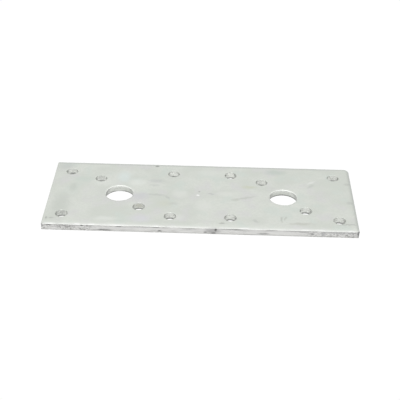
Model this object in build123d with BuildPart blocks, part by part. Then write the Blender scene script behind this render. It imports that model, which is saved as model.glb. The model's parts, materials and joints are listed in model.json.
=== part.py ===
"""Mending plate: one flat piece of steel, sheared to length, punched and hot-dip galvanised.

It lies over a joint between two timbers. Each half carries one bolt hole, four nail holes in a
rectangle around it, and two nail holes on a diagonal beside it. Everything was cut from above,
so every edge and every hole has the section that a shear or a punch leaves in thick steel:
a rolled lip where the tool entered, a straight burnished land, and below it a torn zone that
leans away from the tool.

Millimetres. X runs along the plate, Y across it, and +Z up through its thickness. The origin is
the centre of the underside, where the plate lies on the timber.
"""

import os

from build123d import *

# The strip, with its zinc coat
plate_length = 130.0
plate_width = 47.5
plate_thickness = 3.2

# Its sheared outline
edge_roll = 0.4  # radius of the lip along the top edges
edge_torn_height = 1.8  # height of the torn zone above the underside
edge_torn_lean = 0.12  # how far the torn zone has leant in at the underside
corner_radius = 0.5  # the zinc rounds the three good corners in plan
knocked_corner_radius = 1.9  # the fourth, at +X and +Y, was blunted by a knock

# Bolt holes, one in the middle of each half
bolt_hole_diameter = 11.6
bolt_hole_lip_width = 0.7
bolt_hole_lip_depth = 0.45
bolt_hole_torn_height = 1.3
bolt_hole_torn_lean = 0.35

# Nail holes
nail_hole_diameter = 5.0
nail_hole_lip_width = 0.45
nail_hole_lip_depth = 0.3
nail_hole_torn_height = 1.5
nail_hole_torn_lean = 0.35

# Every lip leaves the top face level, and has turned this far down where it meets the land
lip_turn = 60.0

# Where the nail holes are
nail_end_distance = 7.5  # outer holes, from the plate's ends
nail_edge_distance = 7.5  # both outer rows, from the plate's long edges
nail_middle_gap = 25.0  # between the two inner columns, across the timber joint
diagonal_nail_x = 9.0  # the diagonal pair, each side of the bolt hole
diagonal_nail_back_y = 11.2  # its -X hole, towards the back edge
diagonal_nail_front_y = 9.8  # its +X hole, towards the front edge

# Worked out from those
half_length = plate_length / 2
nail_pitch_x = half_length - nail_end_distance - nail_middle_gap / 2
nail_pitch_y = plate_width - 2 * nail_edge_distance
bolt_hole_x = (nail_middle_gap + nail_pitch_x) / 2
knocked = (half_length, plate_width / 2)
diagonal_pair = [
    (-diagonal_nail_x, diagonal_nail_back_y),
    (diagonal_nail_x, -diagonal_nail_front_y),
]


def outline(height, inset):
    """The plate's plan at a height, drawn in from its full outline by the inset."""
    with BuildSketch(Plane.XY.offset(height)) as plan:
        Rectangle(plate_length - 2 * inset, plate_width - 2 * inset)
        fillet(plan.vertices().sort_by_distance(knocked)[0], knocked_corner_radius - inset)
        fillet(plan.vertices().sort_by_distance(knocked)[2:], corner_radius - inset)
    return plan.sketch


def punched_hole(diameter, lip_width, lip_depth, torn_height, torn_lean):
    """The metal that a punch takes out, on the Z axis: lip, land and torn zone in one section."""
    radius = diameter / 2
    lip_top = (radius + lip_width, plate_thickness)
    lip_foot = (radius, plate_thickness - lip_depth)
    inwards = Vector(-1, 0)
    with BuildPart() as slug:
        with BuildSketch(Plane.XZ):
            with BuildLine():
                Spline(lip_top, lip_foot, tangents=[inwards, inwards.rotate(Axis.Z, lip_turn)])
                Polyline(
                    lip_foot,
                    (radius, torn_height),
                    (radius + torn_lean, 0),
                    (0, 0),
                    (0, plate_thickness),
                    lip_top,
                )
            make_face()
        revolve(axis=Axis.Z)
    return slug.part


bolt_hole = punched_hole(
    bolt_hole_diameter,
    bolt_hole_lip_width,
    bolt_hole_lip_depth,
    bolt_hole_torn_height,
    bolt_hole_torn_lean,
)
nail_hole = punched_hole(
    nail_hole_diameter,
    nail_hole_lip_width,
    nail_hole_lip_depth,
    nail_hole_torn_height,
    nail_hole_torn_lean,
)

with BuildPart() as plate:
    # The strip: its torn zone leans out from the underside, and its land stands straight above
    add(outline(0, edge_torn_lean))
    add(outline(edge_torn_height, 0))
    loft(ruled=True)
    add(outline(edge_torn_height, 0))
    extrude(amount=plate_thickness - edge_torn_height)
    fillet(plate.faces().sort_by(Axis.Z)[-1].edges(), edge_roll)

    # Each half is punched alike
    with Locations((-bolt_hole_x, 0), (bolt_hole_x, 0)):
        add(bolt_hole, mode=Mode.SUBTRACT)
        with GridLocations(nail_pitch_x, nail_pitch_y, 2, 2):
            add(nail_hole, mode=Mode.SUBTRACT)
        with Locations(*diagonal_pair):
            add(nail_hole, mode=Mode.SUBTRACT)

plate.part.label = "plate"
os.makedirs("parts", exist_ok=True)
export_step(plate.part, "parts/plate.step")
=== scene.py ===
import json
from math import hypot, radians

import bmesh
import bpy
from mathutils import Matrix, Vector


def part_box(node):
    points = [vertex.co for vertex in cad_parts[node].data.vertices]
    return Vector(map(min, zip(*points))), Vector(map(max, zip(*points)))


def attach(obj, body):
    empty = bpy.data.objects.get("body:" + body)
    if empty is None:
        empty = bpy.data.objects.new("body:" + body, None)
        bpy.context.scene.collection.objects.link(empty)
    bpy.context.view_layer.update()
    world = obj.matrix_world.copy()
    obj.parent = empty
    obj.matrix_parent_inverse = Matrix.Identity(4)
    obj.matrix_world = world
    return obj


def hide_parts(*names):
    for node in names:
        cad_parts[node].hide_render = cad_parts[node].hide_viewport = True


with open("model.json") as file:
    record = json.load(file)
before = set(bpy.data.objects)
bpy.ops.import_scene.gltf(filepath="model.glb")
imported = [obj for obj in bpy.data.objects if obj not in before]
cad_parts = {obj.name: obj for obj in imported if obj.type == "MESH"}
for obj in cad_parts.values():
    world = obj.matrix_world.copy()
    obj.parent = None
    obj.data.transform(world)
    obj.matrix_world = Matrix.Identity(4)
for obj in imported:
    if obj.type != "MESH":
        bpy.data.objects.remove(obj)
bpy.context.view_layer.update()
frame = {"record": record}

# ---------------------------------------------------------------------------
# The plate. One flat piece of 3 mm structural steel, sheared to length, punched from above and
# hot-dip galvanised. Shear and punch leave a rolled lip, a straight land and a torn zone on every
# edge, and the zinc softens them. It is the whole object: nothing is fixed to it.

MM = 0.001
half_length, half_width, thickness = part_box("plate")[1]

# Sizes of the holes and where they are punched, from the part's mounts. A diagonal pair lies as far
# as its reach each way from its mount
mounts = {mount["name"]: mount for mount in frame["record"]["mounts"]}
bolt_radius = mounts["bolt_hole_left"]["dims"]["r_mm"] * MM
nail_radius = mounts["nails_left"]["dims"]["hole_r_mm"] * MM
diagonal_reach_x, diagonal_reach_y = 9.0 * MM, 10.5 * MM
bolt_holes, nail_holes = [], []
for side in ("left", "right"):
    bolt_holes.append(mounts["bolt_hole_" + side]["pos_m"][:2])
    x, y, _ = mounts["nails_" + side]["pos_m"]
    reach_x = mounts["nails_" + side]["dims"]["spacing_x_mm"] / 2 * MM
    reach_y = mounts["nails_" + side]["dims"]["spacing_y_mm"] / 2 * MM
    nail_holes += [(x + sx * reach_x, y + sy * reach_y) for sx in (-1, 1) for sy in (-1, 1)]
    x, y, _ = mounts["diagonal_nails_" + side]["pos_m"]
    nail_holes.append((x - diagonal_reach_x, y + diagonal_reach_y))
    nail_holes.append((x + diagonal_reach_x, y - diagonal_reach_y))


def cut_section(flat_insets, roll_width, roll_depth, torn_height, torn_lean, foot_bead):
    """A cut edge's section, as (inset, height): flat, lip, straight land, torn zone and foot."""
    lip_steps, land_steps, torn_steps = 6, 4, 6
    points = [(inset, thickness) for inset in flat_insets]
    for step in range(lip_steps + 1):
        t = step / lip_steps
        points.append((roll_width * (1 - t) ** 2, thickness - roll_depth * t ** 2))
    land = thickness - roll_depth - torn_height
    for step in range(1, land_steps + 1):
        points.append((0, thickness - roll_depth - land * step / land_steps))
    for step in range(1, torn_steps + 1):
        t = step / torn_steps
        points.append((torn_lean * t ** 2, torn_height - (torn_height - foot_bead) * t))
    bulge = foot_bead * 0.3
    return points + [(torn_lean + bulge, bulge), (torn_lean + foot_bead, 0)]


edge_section = cut_section(
    flat_insets=(1.9 * MM, 1.6 * MM, 1.3 * MM, 1.05 * MM, 0.8 * MM, 0.6 * MM),
    roll_width=0.42 * MM, roll_depth=0.4 * MM,
    torn_height=1.8 * MM, torn_lean=0.04 * MM, foot_bead=0.06 * MM,
)
bolt_section = cut_section(
    flat_insets=(), roll_width=0.9 * MM, roll_depth=0.42 * MM,
    torn_height=1.3 * MM, torn_lean=0.42 * MM, foot_bead=0.06 * MM,
)
nail_section = cut_section(
    flat_insets=(), roll_width=0.22 * MM, roll_depth=0.22 * MM,
    torn_height=1.5 * MM, torn_lean=0.08 * MM, foot_bead=0.08 * MM,
)
tiny = 0.001 * MM  # what still counts as lying in a face
near = 0.5 * MM  # what still counts as being at an edge


def select(kind, test):
    """Selects the vertices, edges or faces of the piece in edit mode that pass a test."""
    bpy.ops.mesh.select_mode(type={"verts": "VERT", "edges": "EDGE", "faces": "FACE"}[kind])
    bpy.ops.mesh.select_all(action="DESELECT")
    mesh = bmesh.from_edit_mesh(bpy.context.object.data)
    for element in getattr(mesh, kind):
        if test(element):
            element.select_set(True)
    mesh.select_flush_mode()
    bmesh.update_edit_mesh(bpy.context.object.data)


def far_from(element, at_x, at_y):
    """How far the middle of a face or edge is from a hole's axis."""
    places = [vert.co for vert in element.verts]
    return hypot(sum(place.x for place in places) / len(places) - at_x,
                 sum(place.y for place in places) / len(places) - at_y)


def lies_at(element, height):
    """Whether all of a face or edge is in the top face or in the underside."""
    return all(abs(vert.co.z - height) < tiny for vert in element.verts)


def draw_wall(section, half_x, half_y):
    """Draws the selected loop round the origin, of those half sizes, down into a section's wall."""
    inset, height = 0, thickness
    for step, (new_inset, new_height) in enumerate(section):
        if step > 0:
            drop = (0, 0, new_height - height)
            bpy.ops.mesh.extrude_region_move(TRANSFORM_OT_translate={"value": drop})
        growth_x = (half_x + new_inset) / (half_x + inset)
        growth_y = (half_y + new_inset) / (half_y + inset)
        bpy.ops.transform.resize(
            value=(growth_x, growth_y, 1), center_override=(0, 0, new_height))
        inset, height = new_inset, new_height


# The sheared outline: a rectangle with its corners dulled, one of them knocked round
bpy.ops.object.select_all(action="DESELECT")
bpy.ops.mesh.primitive_plane_add(size=2, location=(0, 0, thickness))
plate = bpy.context.object
plate.name = "plate_galvanised"
plate.scale = (half_length, half_width, 1)
bpy.ops.object.transform_apply(location=True, rotation=True, scale=True)
bpy.ops.object.mode_set(mode="EDIT")
for knocked, radius, segments in ((True, 1.9 * MM, 8), (False, 0.5 * MM, 4)):
    select("verts", lambda v: (v.co.x > 0 and v.co.y > 0) == knocked
           and abs(v.co.x) + abs(v.co.y) > half_length + half_width - near)
    bpy.ops.mesh.bevel(offset=radius, segments=segments, affect="VERTICES")
bpy.ops.mesh.select_all(action="SELECT")
bpy.ops.mesh.delete(type="ONLY_FACE")
corner_allowance = 3 * MM  # the bevels have shortened the sides by less
for half_side, cuts in ((half_length, (15, 25)), (half_width, (11, 11))):
    select("edges", lambda e: abs(e.calc_length() / 2 - half_side) < corner_allowance)
    for number_cuts in cuts:
        bpy.ops.mesh.subdivide(number_cuts=number_cuts)
bpy.ops.mesh.select_mode(type="EDGE")
bpy.ops.mesh.select_all(action="SELECT")
draw_wall([(-inset, height) for inset, height in edge_section], half_length, half_width)

# The top face: a fine grid, opened round every hole, with a copy of it for the underside
cell = 0.625 * MM
edge_margin = 2.5 * MM
hole_margin = 0.6 * MM
grid_x, grid_y = half_length - edge_margin, half_width - edge_margin
bpy.ops.mesh.select_all(action="DESELECT")
bpy.ops.mesh.primitive_grid_add(
    x_subdivisions=round(grid_x * 2 / cell), y_subdivisions=round(grid_y * 2 / cell),
    size=2, location=(0, 0, 0),
)
bpy.ops.transform.resize(value=(grid_x, grid_y, 1))
bpy.ops.transform.translate(value=(0, 0, thickness))
openings = [(x, y, bolt_radius + bolt_section[0][0] + hole_margin) for x, y in bolt_holes]
openings += [(x, y, nail_radius + nail_section[0][0] + hole_margin) for x, y in nail_holes]
select("faces", lambda f: lies_at(f, thickness)
       and any(far_from(f, x, y) < radius for x, y, radius in openings))
bpy.ops.mesh.delete(type="FACE")
select("faces", lambda f: lies_at(f, thickness))
bpy.ops.mesh.duplicate_move(TRANSFORM_OT_translate={"value": (0, 0, -thickness)})

# The walls of the holes: one bolt hole and one nail hole, each copied to its places. Zinc ran into
# them as it drained, so each keeps a share of its size to the front and along the plate, and each
# place has its own share across the plate
bpy.ops.mesh.select_all(action="DESELECT")
bpy.ops.object.mode_set(mode="OBJECT")
walls = []
bolt_shares = (1.0, 1.0)
nail_shares = (0.99, 0.93, 1.0, 0.94, 0.94, 1.05, 1.01, 1.05, 1.0, 0.92, 0.93, 1.06)
for places, radius, section, corners, share_in_front, share_along, shares_across in (
    (bolt_holes, bolt_radius, bolt_section, 96, 0.965, 0.996, bolt_shares),
    (nail_holes, nail_radius, nail_section, 48, 0.97, 1.0, nail_shares),
):
    bpy.ops.object.select_all(action="DESELECT")
    bpy.ops.mesh.primitive_circle_add(vertices=corners, radius=radius, location=(0, 0, 0))
    first_wall = bpy.context.object
    bpy.ops.object.mode_set(mode="EDIT")
    bpy.ops.mesh.select_mode(type="EDGE")
    bpy.ops.mesh.select_all(action="SELECT")
    bpy.ops.transform.translate(value=(0, 0, thickness))
    draw_wall(section, radius, radius)
    bpy.ops.mesh.select_all(action="SELECT")
    bpy.ops.transform.resize(value=(share_along, 1, 1), center_override=(0, 0, 0))
    select("verts", lambda v: v.co.y < -tiny)
    bpy.ops.transform.resize(value=(1, share_in_front, 1), center_override=(0, 0, 0))
    bpy.ops.object.mode_set(mode="OBJECT")
    walls.append(first_wall)
    for _ in places[1:]:
        bpy.ops.object.duplicate()
        walls.append(bpy.context.object)
    for wall, (x, y), share_across in zip(walls[-len(places):], places, shares_across):
        wall.location = (x, y, 0)
        wall.scale = (1, share_across, 1)

# All of it is joined, and the gaps that the grids leave round the holes and inside the outline are
# filled
for wall in walls:
    wall.select_set(True)
plate.select_set(True)
bpy.context.view_layer.objects.active = plate
bpy.ops.object.join()
bpy.ops.object.mode_set(mode="EDIT")
for height in (thickness, 0):
    for x, y, radius in openings:
        select("edges", lambda e: e.is_boundary and lies_at(e, height)
               and far_from(e, x, y) < radius + 2 * cell)
        bpy.ops.mesh.fill()
    select("edges", lambda e: e.is_boundary and lies_at(e, height))
    bpy.ops.mesh.fill()
bpy.ops.mesh.select_all(action="SELECT")
bpy.ops.mesh.normals_make_consistent(inside=False)

# The shear pulled the front and right-hand edges down a little as it cut them. It cut the left-hand
# end from the other side, so that end leans out to its foot
lip_height = 0.38 * MM
for pull, falloff, reach, at_edge in (
    ((0, 0, -0.17 * MM), "SMOOTH", 1.9 * MM, lambda v: v.co.y < -half_width + near),
    ((0, 0, -0.22 * MM), "SMOOTH", 1.3 * MM, lambda v: v.co.x > half_length - near),
    ((0.18 * MM, 0, 0), "LINEAR", 3.0 * MM, lambda v: v.co.x < -half_length + near),
):
    select("verts", lambda v: at_edge(v) and v.co.z > thickness - lip_height)
    bpy.ops.transform.translate(
        value=pull, use_proportional_edit=True,
        proportional_edit_falloff=falloff, proportional_size=reach)

# Where the zinc lies unevenly: thick and thin on the faces, drawn up in lumps at the rims of the
# holes, and rough over the torn steel of every cut
lip_foot = thickness - 0.3 * MM
rim_top, rim_foot = thickness - 0.1 * MM, 1.2 * MM
torn_top, torn_foot = 2.3 * MM, 0.05 * MM


def in_a_hole(v):
    """Whether a vertex is on the wall of a hole."""
    return any(
        hypot(v.co.x - x, v.co.y - y) < radius - hole_margin + tiny for x, y, radius in openings)


for group, belongs in (
    ("faces", lambda v: v.co.z < tiny or v.co.z > lip_foot),
    ("hole_rims", lambda v: rim_foot < v.co.z < rim_top and in_a_hole(v)),
    ("torn_steel", lambda v: torn_foot < v.co.z < torn_top),
):
    select("verts", belongs)
    bpy.ops.object.vertex_group_add()
    plate.vertex_groups.active.name = group
    bpy.ops.object.vertex_group_assign()
bpy.ops.object.mode_set(mode="OBJECT")
for name, group, size, depth, strength, level in (
    ("thick_and_thin", "faces", 7 * MM, 1, 0.05 * MM, 1),
    ("lumps", "hole_rims", 1.1 * MM, 1, 0.16 * MM, 0.55),
    ("pits", "torn_steel", 0.55 * MM, 2, 0.22 * MM, 1),
):
    relief = bpy.data.textures.new(name, "CLOUDS")
    relief.noise_scale, relief.noise_depth = size, depth
    modifier = plate.modifiers.new(name, "DISPLACE")
    modifier.texture, modifier.vertex_group = relief, group
    modifier.strength, modifier.mid_level = strength, level
    bpy.ops.object.modifier_apply(modifier=name)
bpy.ops.object.shade_smooth_by_angle(angle=radians(40))
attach(plate, "root")
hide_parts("plate")

# The zinc over it: hot-dip galvanising, weathered a little. It is a dull, slightly green silver,
# clouded where it cooled unevenly, and over the cuts greyer, rougher, streaked and flecked.


def linear(hex_colour):
    """An sRGB hex colour as linear red, green, blue and full alpha."""
    values = [int(hex_colour[i:i + 2], 16) / 255 for i in (1, 3, 5)]
    return [v / 12.92 if v <= 0.04045 else ((v + 0.055) / 1.055) ** 2.4 for v in values] + [1]


def add_node(tree, kind, inputs=(), **settings):
    """Adds a node, with its settings and a value or a link for each input, and gives its outputs."""
    node = tree.nodes.new("ShaderNode" + kind)
    for name, value in settings.items():
        setattr(node, name, value)
    for socket, value in dict(inputs).items():
        if isinstance(value, bpy.types.NodeSocket):
            tree.links.new(value, node.inputs[socket])
        else:
            node.inputs[socket].default_value = value
    return node.outputs


zinc = bpy.data.materials.new("hot_dip_zinc")
zinc.use_nodes = True
bath = zinc.node_tree
bath.nodes.clear()
on_plate = add_node(bath, "TexCoord")
place = add_node(bath, "SeparateXYZ", {0: on_plate["Object"]})
facing = add_node(bath, "SeparateXYZ", {0: on_plate["Normal"]})
height = place["Z"]
from_middle_x = add_node(bath, "Math", {0: place["X"]}, operation="ABSOLUTE")[0]
from_middle_y = add_node(bath, "Math", {0: place["Y"]}, operation="ABSOLUTE")[0]
facing_an_end = add_node(bath, "Math", {0: facing["X"]}, operation="ABSOLUTE")[0]

# Noise patterns: what they are, their grain along x, y and z in mm, their detail and their start.
# The grain, flecks, mottle and dimples are finer on real zinc, and are this coarse so that they show
patterns = {}
for name, grain_mm, detail, start in (
    ("clouds", (12.9, 9.0, 9.0), 3, (0, 0, 0)),
    ("tints", (8.0, 8.0, 8.0), 1, (3, 7, 0)),
    ("grain", (1.1, 1.1, 1.1), 2, (5, 1, 0)),
    ("wander", (2.2, 2.2, 2.2), 2, (9, 4, 2)),
    ("streaks", (7.1, 7.1, 1.2), 2, (2, 2, 0)),
    ("scores", (8.0, 8.0, 0.5), 2, (6, 3, 1)),
    ("flecks", (0.6, 0.6, 0.5), 2, (1, 8, 3)),
    ("patches", (5.0, 5.0, 2.5), 2, (8, 6, 1)),
    ("mottle", (1.0, 1.0, 0.8), 1, (7, 2, 5)),
    ("dimples", (0.45, 0.45, 0.45), 2, (4, 4, 4)),
):
    spread = add_node(bath, "Mapping", {
        "Vector": on_plate["Object"], "Location": start, "Scale": [1 / mm / MM for mm in grain_mm]})
    patterns[name] = add_node(bath, "TexNoise", {"Vector": spread[0], "Scale": 1.0, "Detail": detail})

# Shares of a colour: from 0 at one value of a source to the last number at the other value
shares = {}
for name, source, low, high, most in (
    ("pale clouds", patterns["clouds"]["Fac"], 0.35, 0.65, 1.0),
    ("warm tint", patterns["tints"]["Fac"], 0.5, 0.72, 0.6),
    ("green tint", patterns["tints"]["Fac"], 0.45, 0.26, 0.6),
    ("grain", patterns["grain"]["Fac"], 0.3, 0.7, 0.35),
    ("below the face", height, 3.13 * MM, 3.02 * MM, 0.9),
    ("inside the ends", from_middle_x, 62.8 * MM, 61.5 * MM, 1.0),
    ("inside the long edges", from_middle_y, 21.6 * MM, 20.6 * MM, 1.0),
    ("held back edge", place["Y"], 21.9 * MM, 23.4 * MM, 0.85),
    ("held right end", place["X"], 63.8 * MM, 64.5 * MM, 0.7),
    ("burnished front lip", place["Y"], -22.2 * MM, -23.2 * MM, 0.9),
    ("below the top", height, 2.92 * MM, 2.78 * MM, 1.0),
    ("lower half", height, 1.7 * MM, 1.5 * MM, 1.0),
    ("not the underside", facing["Z"], -0.9, -0.75, 1.0),
    ("long sides", from_middle_y, 23.2 * MM, 23.4 * MM, 1.0),
    ("short ends", from_middle_x, 64.4 * MM, 64.6 * MM, 1.0),
    ("smeared ends", from_middle_x, 64.3 * MM, 64.7 * MM, 0.55),
    ("near the ends", from_middle_x, 41 * MM, 47 * MM, 1.0),
    ("below the lip", height, 3.0 * MM, 2.72 * MM, 1.0),
    ("clear of the lip", height, 2.5 * MM, 2.72 * MM, 1.0),
    ("foot", height, 0.8 * MM, 0.15 * MM, 0.95),
    ("deep foot", height, 1.4 * MM, 0.6 * MM, 0.35),
    ("streaks", patterns["streaks"]["Fac"], 0.35, 0.65, 1.0),
    ("scores", patterns["scores"]["Fac"], 0.52, 0.64, 0.5),
    ("flecks", patterns["flecks"]["Fac"], 0.44, 0.62, 0.9),
    ("rough patches", patterns["patches"]["Fac"], 0.34, 0.52, 1.0),
    ("mottle", patterns["mottle"]["Fac"], 0.5, 0.7, 0.5),
    ("high on the wall", height, 1.9 * MM, 2.8 * MM, 0.8),
    ("bolt holes", from_middle_y, 6.7 * MM, 6.4 * MM, 0.9),
    ("drained to a side", facing_an_end, 0.55, 0.92, 0.6),
):
    shares[name] = add_node(bath, "MapRange", {
        "Value": source, "From Min": low, "From Max": high, "To Max": most},
        interpolation_type="SMOOTHSTEP")[0]
for name, first, second, operation in (
    ("cut", "below the top", "not the underside", "MULTIPLY"),
    ("within the outline", "inside the ends", "inside the long edges", "MULTIPLY"),
    ("lips of the holes", "below the face", "within the outline", "MULTIPLY"),
    ("outline", "long sides", "short ends", "MAXIMUM"),
    ("under the lip", "below the lip", "clear of the lip", "MULTIPLY"),
    ("dark under the lip", "under the lip", "streaks", "MULTIPLY"),
    ("dark under the outline's lip", "dark under the lip", "outline", "MULTIPLY"),
    ("patches of flecks", "flecks", "rough patches", "MULTIPLY"),
    ("flecked ends", "patches of flecks", "near the ends", "MULTIPLY"),
    ("flecked ends of the outline", "flecked ends", "outline", "MULTIPLY"),
    ("scored outline", "scores", "outline", "MULTIPLY"),
):
    shares[name] = add_node(bath, "Math", {0: shares[first], 1: shares[second]},
                            operation=operation)[0]

# Marks: place and half size in mm, turn in degrees, colour and strength
top, front = thickness / MM, -half_width / MM
face_marks = (
    # Stains and tints
    ((-55.2, 3.8, top), (2.4, 5.0, 2), 0, "#C8CDC6", 0.65),
    ((-51.6, 10.0, top), (7.0, 4.0, 2), 0, "#CCD6CE", 0.55),
    ((-34.0, 12.5, top), (4.5, 7.0, 2), 0, "#DCE5E3", 0.65),
    ((-25.9, -1.9, top), (5.5, 4.5, 2), 0, "#CFCFD3", 0.65),
    ((-24.8, -18.6, top), (7.0, 4.0, 2), 0, "#D9D9DE", 0.65),
    ((-14.9, -7.0, top), (5.0, 4.0, 2), 0, "#D1D4C8", 0.55),
    ((20.7, 7.3, top), (4.5, 1.7, 2), 0, "#CDD0BD", 0.65),
    ((32.3, 19.6, top), (6.5, 3.0, 2), 0, "#C2CBC4", 0.65),
    ((-60.5, 20.5, top), (5.0, 3.5, 2), 0, "#C8CBC9", 0.55),
    ((-19.6, 10.3, top), (5.0, 2.2, 2), 0, "#C8CCC8", 0.65),
    ((-20.5, 6.6, top), (3.2, 1.6, 2), 0, "#C8CCC8", 0.55),
    ((-11.8, -6.9, top), (3.5, 1.5, 2), 0, "#C8CBC6", 0.55),
    ((-39.2, -19.1, top), (7.5, 2.6, 2), 0, "#E2E5E0", 0.65),
    ((0.8, -8.2, top), (5.0, 5.5, 2), 20, "#E0E2DD", 0.55),
    ((-41.0, 8.0, top), (9.0, 4.5, 2), 0, "#E1E4DF", 0.5),
    ((-28.5, 8.5, top), (5.5, 4.5, 2), 0, "#E6E9E4", 0.6),
    ((3.5, 18.0, top), (9.0, 4.5, 2), 0, "#E0E3DE", 0.5),
    ((-9.0, 0.6, top), (5.0, 4.5, 2), 0, "#E2E4DF", 0.55),
    ((10.0, 1.5, top), (5.5, 3.0, 2), 0, "#E1E3DE", 0.5),
    ((-10.0, -16.8, top), (5.0, 4.0, 2), 0, "#E0E2DE", 0.5),
    ((-59.0, -10.0, top), (6.0, 13.0, 2), 0, "#C6CBC4", 0.6),
    ((41.1, -19.3, top), (8.0, 1.5, 2), 3, "#BFC0B8", 0.5),
    ((62.9, 11.4, top), (2.2, 1.2, 2), 0, "#C2C5C0", 0.65),
    ((62.9, -2.9, top), (2.0, 1.8, 2), 0, "#C2C5C0", 0.65),
    # Scratches and rubs
    ((-19.2, -0.5, top), (6.0, 1.1, 2), -3, "#C2C6C1", 0.6),
    ((-14.2, -2.4, top), (2.8, 0.7, 2), -58, "#C4C8C3", 0.7),
    ((18.8, -1.3, top), (7.0, 0.9, 2), 17, "#C0C4BC", 0.5),
    ((14.4, -2.9, top), (2.6, 1.4, 2), 0, "#BFC3BA", 0.5),
    ((47.7, 12.0, top), (3.2, 1.1, 2), 38, "#E6E8E5", 0.65),
    ((47.5, 9.3, top), (3.0, 1.2, 2), 30, "#C5C9C4", 0.65),
    ((4.2, 1.1, top), (2.2, 0.6, 2), 0, "#BFC2BF", 0.65),
    ((23.1, -18.3, top), (2.6, 1.2, 2), -38, "#BDC1BB", 0.5),
    ((33.6, -16.4, top), (0.7, 3.0, 2), 0, "#C0C3BC", 0.7),
    ((35.2, -15.8, top), (0.7, 2.6, 2), -8, "#C3C6BF", 0.7),
    ((60.4, -19.0, top), (5.5, 0.6, 2), 4, "#AEB1AD", 0.5),
    ((9.2, -20.2, top), (2.2, 0.9, 2), 0, "#ADB0AA", 0.7),
    ((-63.2, -19.8, top), (0.7, 1.4, 2), 0, "#9FA19E", 0.7),
    ((-61.4, -19.6, top), (1.6, 0.9, 2), 12, "#B4B6B3", 0.6),
    ((-20.0, 22.3, top), (1.0, 0.8, 2), 0, "#8A8C89", 0.8),
    # A painted highlight where a zinc pimple catches the light
    ((-1.4, -0.2, top), (0.9, 0.8, 2), 0, "#FBFCFA", 0.8),
    ((-1.0, 2.6, top), (0.8, 0.7, 2), 0, "#A0A29F", 0.7),
)
front_marks = (
    # Where the shear bit and tore
    ((-54.0, front, 2.7), (13, 2, 0.9), 0, "#B2B2B1", 0.6),
    ((57.5, front, 2.4), (10, 2, 1.2), 0, "#B2B3B3", 0.6),
    ((5.2, front, 1.6), (4.8, 2, 2.4), 0, "#B2B2B1", 0.8),
    ((-64.6, front, 2.2), (0.9, 2, 1.3), 0, "#8C8C8C", 0.7),
    # Painted shade where the front-right corner turns away
    ((64.8, front, 1.8), (1.2, 2, 2.2), 0, "#747474", 0.9),
    ((50.5, front, 1.6), (1.6, 2, 2.0), 0, "#ACADAE", 0.6),
    # Painted shade in lines below the lip
    ((-23.0, front, 2.7), (8.0, 2, 0.45), 0, "#979797", 0.7),
    ((-17.8, front, 2.7), (2.4, 2, 0.5), 0, "#8F8F8F", 0.7),
    ((14.8, front, 2.7), (6.0, 2, 0.45), 0, "#8C8C8C", 0.8),
    ((29.3, front, 2.8), (3.0, 2, 0.45), 0, "#8C8C8C", 0.8),
    ((40.0, front, 2.5), (9.0, 2, 0.7), 0, "#A6A6A5", 0.6),
    # Pits and dross
    ((-48.2, front, 2.7), (0.9, 2, 0.5), 0, "#727272", 0.9),
    ((-45.8, front, 2.4), (0.7, 2, 0.5), 0, "#7A7A7A", 0.8),
    ((-61.8, front, 2.6), (1.6, 2, 0.5), 0, "#808080", 0.7),
    ((-39.2, front, 0.5), (4.2, 2, 0.6), 0, "#808080", 0.9),
    ((-33.0, front, 2.45), (2.0, 2, 0.5), 0, "#7E7E7E", 0.8),
    ((-16.4, front, 0.8), (1.4, 2, 0.5), 0, "#6E6E6E", 0.9),
    ((6.5, front, 2.1), (0.7, 2, 1.2), 0, "#5A5A59", 0.9),
    ((2.4, front, 0.8), (1.2, 2, 0.5), 0, "#7C7C7B", 0.8),
    ((5.6, front, 0.5), (1.3, 2, 0.5), 0, "#7C7C7B", 0.8),
    ((26.0, front, 0.9), (3.6, 2, 0.6), 0, "#9C9C9B", 0.7),
    ((45.8, front, 1.3), (1.1, 2, 0.5), 0, "#808080", 0.8),
    ((61.8, front, 2.6), (1.4, 2, 0.5), 0, "#868686", 0.7),
)
painted_lip_highlight_marks = (
    # Painted glints: brighter stretches of the front lip's painted highlight
    ((-61.2, front, 3.0), (2.0, 1.5, 0.9), 0, "#FFFFFF", 0.35),
    ((-50.0, front, 3.0), (2.2, 1.5, 0.9), 0, "#FFFFFF", 0.5),
    ((-44.2, front, 3.0), (2.0, 1.5, 0.9), 0, "#FFFFFF", 0.45),
    ((-33.8, front, 3.0), (5.0, 1.5, 0.9), 0, "#FFFFFF", 0.35),
    ((-17.9, front, 3.0), (1.9, 1.5, 0.9), 0, "#FFFFFF", 0.4),
    ((18.6, front, 3.0), (3.0, 1.5, 0.9), 0, "#FFFFFF", 0.45),
    ((43.0, front, 3.0), (3.2, 1.5, 0.9), 0, "#FFFFFF", 0.3),
    ((49.5, front, 3.0), (4.0, 1.5, 0.9), 0, "#FFFFFF", 0.25),
    ((61.4, front, 3.0), (2.5, 1.5, 0.9), 0, "#FFFFFF", 0.4),
    # Dimmer stretches of the same painted highlight
    ((-64.3, front, 3.0), (1.3, 1.5, 0.9), 0, "#AFB1AE", 0.5),
    ((-57.9, front, 3.0), (2.2, 1.5, 0.9), 0, "#AFB1AE", 0.25),
    ((-13.3, front, 3.0), (2.8, 1.5, 0.9), 0, "#AFB1AE", 0.2),
    ((6.2, front, 3.0), (3.8, 1.5, 0.9), 0, "#AFB1AE", 0.25),
    ((26.3, front, 3.0), (3.0, 1.5, 0.9), 0, "#AFB1AE", 0.15),
)
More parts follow.
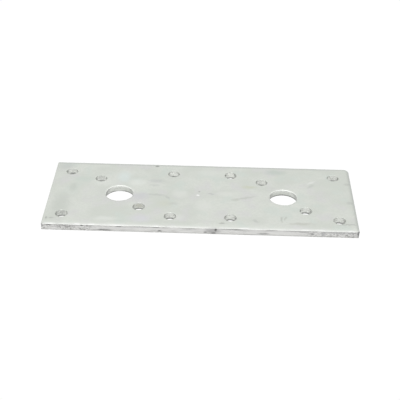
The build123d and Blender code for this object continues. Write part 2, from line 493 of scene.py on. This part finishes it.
hole_marks = (
    # Lighter or darker patches on the walls of some holes
    ((-57.5, -13.7, 1.8), (2.2, 1.8, 1.8), 0, "#CDCFCB", 0.9),
    ((-26.0, -7.3, 1.8), (2.4, 1.8, 1.8), 0, "#D2D3CA", 0.9),
    ((-44.0, 13.7, 1.8), (2.2, 1.8, 1.8), 0, "#D8DAD6", 0.8),
    ((12.5, 18.7, 1.8), (2.2, 1.8, 1.8), 0, "#F9FBF5", 0.8),
    ((26.0, 13.7, 1.8), (2.2, 1.8, 1.8), 0, "#F4F6F1", 0.3),
    ((-57.5, 18.3, 0.7), (2.2, 1.5, 0.8), 0, "#A2A4A1", 0.8),
    ((-12.5, 18.7, 1.8), (2.2, 1.8, 1.8), 0, "#F6F8F3", 0.7),
    ((-36.0, 5.9, 0.5), (3.6, 1.5, 1.0), 0, "#DCDEDA", 0.8),
    ((-39.5, 4.1, 1.2), (2.6, 2.6, 1.6), 0, "#DCDEDA", 0.6),
    ((39.8, 4.1, 1.4), (2.4, 2.4, 1.2), 0, "#E2E4E0", 0.6),
)
centred = add_node(bath, "VectorMath", {0: patterns["wander"]["Color"], 1: (0.5, 0.5, 0.5)},
                   operation="SUBTRACT")[0]
mark_shares = {}
for marked, surface, marks, wander in (
    ("faces", "faces", face_marks, 2.2 * MM),
    ("lip", "faces", painted_lip_highlight_marks, 0.9 * MM),
    ("cuts", "cuts", front_marks, 0.9 * MM),
    ("holes", "holes", hole_marks, 0.9 * MM),
):
    mark_shares[marked] = []
    uneven = add_node(
        bath, "VectorMath", {0: centred, 1: (wander, wander, wander), 2: on_plate["Object"]},
        operation="MULTIPLY_ADD")
    for centre, half_size, turn, shade, strength in marks:
        patch = add_node(bath, "Mapping", {
            "Vector": uneven[0], "Location": [mm * MM for mm in centre],
            "Rotation": (0, 0, radians(turn)), "Scale": [mm * MM for mm in half_size]},
            vector_type="TEXTURE")
        spot = add_node(bath, "TexGradient", {"Vector": patch[0]}, gradient_type="SPHERICAL")
        share = add_node(bath, "MapRange", {
            "Value": spot["Fac"], "From Max": 0.8, "To Max": strength},
            interpolation_type="SMOOTHSTEP")[0]
        mark_shares[marked].append((surface, share, shade))

# Each surface starts from its own colour, and each layer is laid over the ones before it. A Mix
# node has its colours at inputs 6 and 7 and at output 2
colours = {
    "faces": linear("#D3D7D0"),
    "underside": linear("#D3D7D0"),
    "cuts": linear("#DCDCDA"),
    # Painted light: the walls of the holes start lighter than the faces
    "holes": linear("#EDEFEA"),
}
layers = []
for surface in ("faces", "underside"):
    layers += [
        (surface, shares["pale clouds"], "#DCDFD9"),
        (surface, shares["warm tint"], "#D8D7D8"),
        (surface, shares["green tint"], "#D2DAD4"),
        (surface, shares["grain"], "#CFD3CC"),
    ]
layers += [
    ("underside", shares["scores"], "#C6CAC5"),
    *mark_shares["faces"],
    # A painted highlight on the lips of the holes
    ("faces", shares["lips of the holes"], "#F4F6F2"),
    # Darker along the back edge
    ("faces", shares["held back edge"], "#C3C7C2"),
    # Painted shade along the right-hand end
    ("faces", shares["held right end"], "#BEC1BD"),
    # A painted highlight along the front lip
    ("faces", shares["burnished front lip"], "#E4E6E2"),
    # Painted glints and dimmer stretches along the front lip's painted highlight
    *mark_shares["lip"],
    ("cuts", shares["streaks"], "#E1E1DF"),
    # Painted shade in a line under the outline's lip, broken up by the streaks
    ("cuts", shares["dark under the outline's lip"], "#B2B2B0"),
    # Painted shade at the foot of the cuts
    ("cuts", shares["foot"], "#CACAC8"),
    ("cuts", shares["flecked ends of the outline"], "#A4A4A2"),
    # Darker at the very ends of the cuts
    ("cuts", shares["smeared ends"], "#C6C6C4"),
    ("cuts", shares["scored outline"], "#AEAEAC"),
    *mark_shares["cuts"],
    ("holes", shares["bolt holes"], "#D3D6D0"),
    # Painted light, lighter high on the walls of the holes
    ("holes", shares["high on the wall"], "#F2F4F0"),
    ("holes", shares["mottle"], "#C4C6C2"),
    # Painted shade on the hole walls that face the ends
    ("holes", shares["drained to a side"], "#A0A29F"),
    # Painted shade low in the holes, darkest at the foot
    ("holes", shares["deep foot"], "#9A9C99"),
    ("holes", shares["foot"], "#848683"),
    *mark_shares["holes"],
]
for surface, share, shade in layers:
    colours[surface] = add_node(bath, "Mix", {
        0: share, 6: colours[surface], 7: linear(shade)}, data_type="RGBA")[2]

# One colour for the whole plate: the holes or the outline where it is cut, and elsewhere a face
for name, share, first, second in (
    ("flat", "lower half", "faces", "underside"),
    ("cut", "outline", "holes", "cuts"),
    ("all", "cut", "flat", "cut"),
):
    colours[name] = add_node(bath, "Mix", {
        0: shares[share], 6: colours[first], 7: colours[second]}, data_type="RGBA")[2]

# Duller in the pale clouds and over the cuts, with fine dimples all over
dullness = add_node(bath, "MapRange", {
    "Value": patterns["clouds"]["Fac"], "From Min": 0.3, "From Max": 0.7,
    "To Min": 0.46, "To Max": 0.54})[0]
dullness = add_node(bath, "Math", {0: shares["cut"], 1: 0.08, 2: dullness},
                    operation="MULTIPLY_ADD")[0]
dimples = add_node(bath, "Bump", {
    "Height": patterns["dimples"]["Fac"], "Distance": 0.02 * MM, "Strength": 0.5})
surface = add_node(bath, "BsdfPrincipled", {
    "Base Color": colours["all"], "Metallic": 1.0, "Roughness": dullness, "Normal": dimples["Normal"]})
add_node(bath, "OutputMaterial", {"Surface": surface["BSDF"]})
plate.data.materials.clear()
plate.data.materials.append(zinc)

# ---------------------------------------------------------------------------
# The studio. The plate lies on a sheet of white acrylic that is lit from below. Around it is a white
# room, whose walls brighten upwards to a dimmer ceiling, and one large softbox is above the front.

bpy.ops.object.select_all(action="DESELECT")
bpy.ops.mesh.primitive_plane_add(size=40, location=(0, 0, -0.1 * MM))
floor = bpy.context.object
floor.name = "studio_floor"
acrylic = bpy.data.materials.new("lit_white_acrylic")
acrylic.use_nodes = True
acrylic.node_tree.nodes.clear()
sheet = add_node(acrylic.node_tree, "BsdfPrincipled", {
    "Base Color": linear("#000000"), "Roughness": 0.6, "Specular IOR Level": 0.0,
    "Emission Color": linear("#FFFFFF"), "Emission Strength": 1.02})
add_node(acrylic.node_tree, "OutputMaterial", {"Surface": sheet["BSDF"]})
floor.data.materials.append(acrylic)

room = bpy.data.worlds.new("white_room")
bpy.context.scene.world = room
room.use_nodes = True
room.node_tree.nodes.clear()
direction = add_node(room.node_tree, "SeparateXYZ", {
    0: add_node(room.node_tree, "TexCoord")["Generated"]})
up_the_walls = add_node(room.node_tree, "MapRange", {
    "Value": direction["Z"], "From Max": 0.7, "To Min": 0.28, "To Max": 1.27})
ceiling = add_node(room.node_tree, "MapRange", {
    "Value": direction["Z"], "From Min": 0.72, "To Min": 1.0, "To Max": 0.62})
brightness = add_node(room.node_tree, "Math", {0: up_the_walls[0], 1: ceiling[0]},
                      operation="MULTIPLY")
walls_of_room = add_node(room.node_tree, "Background", {
    "Color": linear("#FFFFFF"), "Strength": brightness[0]})
add_node(room.node_tree, "OutputWorld", {"Surface": walls_of_room["Background"]})
bpy.context.scene.view_settings.view_transform = "Standard"

bpy.ops.object.light_add(type="AREA", location=(-0.168, -0.628, 1.126))
softbox = bpy.context.object
softbox.name = "softbox"
softbox.data.shape = "RECTANGLE"
softbox.data.size, softbox.data.size_y = 1.0, 0.5
softbox.data.energy = 4
softbox.rotation_euler = (radians(30), 0, radians(-15))

bpy.ops.object.camera_add(
    location=(5.81 * MM, -332.68 * MM, 224.38 * MM),
    rotation=(radians(56.082), radians(-0.814), radians(1.633)),
)
camera = bpy.context.object
camera.data.sensor_width, camera.data.lens = 36, 84.187
bpy.context.scene.camera = camera
